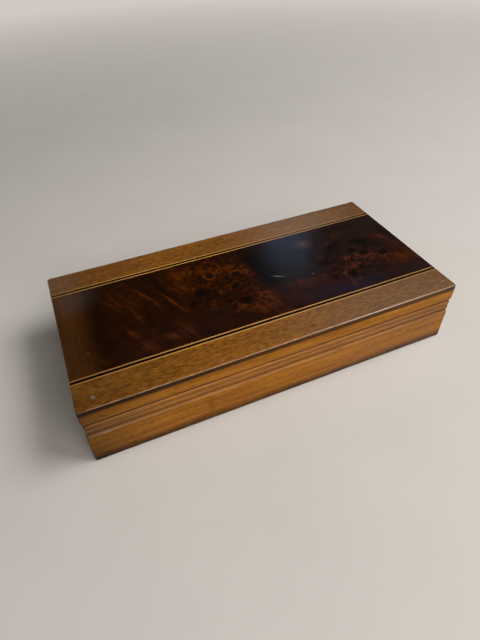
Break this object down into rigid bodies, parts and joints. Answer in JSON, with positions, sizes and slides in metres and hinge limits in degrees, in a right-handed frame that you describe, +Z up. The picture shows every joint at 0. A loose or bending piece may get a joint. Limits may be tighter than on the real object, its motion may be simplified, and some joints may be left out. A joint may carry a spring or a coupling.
{
  "type": "wooden table box with a hinged lid",
  "caption": "Low rectangular wooden box with a veneered and strung flat lid on brass butt hinges, beaded moulding under the joint and a cedar lining.",
  "frame": {"origin": "middle of the flat underside, on the base panel", "axes": "+X along the length, to the right seen from the front; +Y from the front to the hinge side; +Z up"},
  "size_m": [0.22, 0.1116, 0.041],
  "materials": {
    "honey_mahogany": "French polished, satin to gloss",
    "dark_edge": "dark stained edge, polished",
    "band_mahogany": "polished veneer",
    "burr_walnut": "high gloss burr veneer",
    "pale_string": "polished boxwood line",
    "black_string": "polished ebonised line",
    "cedar": "bare planed cedar",
    "base_wood": "bare, lightly stained",
    "brass": "aged satin brass"
  },
  "bodies": {
    "box": {"front_board": "honey_mahogany", "back_board": "honey_mahogany", "left_end_board": "honey_mahogany", "right_end_board": "honey_mahogany", "base_panel": "base_wood", "floor_lining": "cedar", "front_lining": "cedar", "right_lining": "cedar", "back_lining": "cedar", "left_lining": "cedar", "left_hinge_body_leaf": "brass", "left_hinge_body_screw_1": "brass", "left_hinge_body_screw_2": "brass", "left_hinge_pin": "brass", "right_hinge_body_leaf": "brass", "right_hinge_body_screw_1": "brass", "right_hinge_body_screw_2": "brass", "right_hinge_pin": "brass"},
    "lid": {"lid_front_rail": "honey_mahogany", "lid_back_rail": "honey_mahogany", "lid_left_rail": "honey_mahogany", "lid_right_rail": "honey_mahogany", "lid_top_board": "dark_edge", "lid_lining": "cedar", "front_band_veneer": "band_mahogany", "front_string_outer_line": "pale_string", "front_string_black_line": "black_string", "front_string_inner_line": "pale_string", "burr_veneer": "burr_walnut", "back_string_inner_line": "pale_string", "back_string_black_line": "black_string", "back_string_outer_line": "pale_string", "back_band_veneer": "band_mahogany", "left_hinge_lid_leaf": "brass", "left_hinge_lid_screw_1": "brass", "left_hinge_lid_screw_2": "brass", "right_hinge_lid_leaf": "brass", "right_hinge_lid_screw_1": "brass", "right_hinge_lid_screw_2": "brass"}
  },
  "joints": [
    {"name": "lid_hinge", "type": "hinge", "parent": "box", "child": "lid", "pos_m": [0, 0.0554, 0.0295], "axis": [-1, 0, 0], "range_deg": [0, 100]}
  ]
}
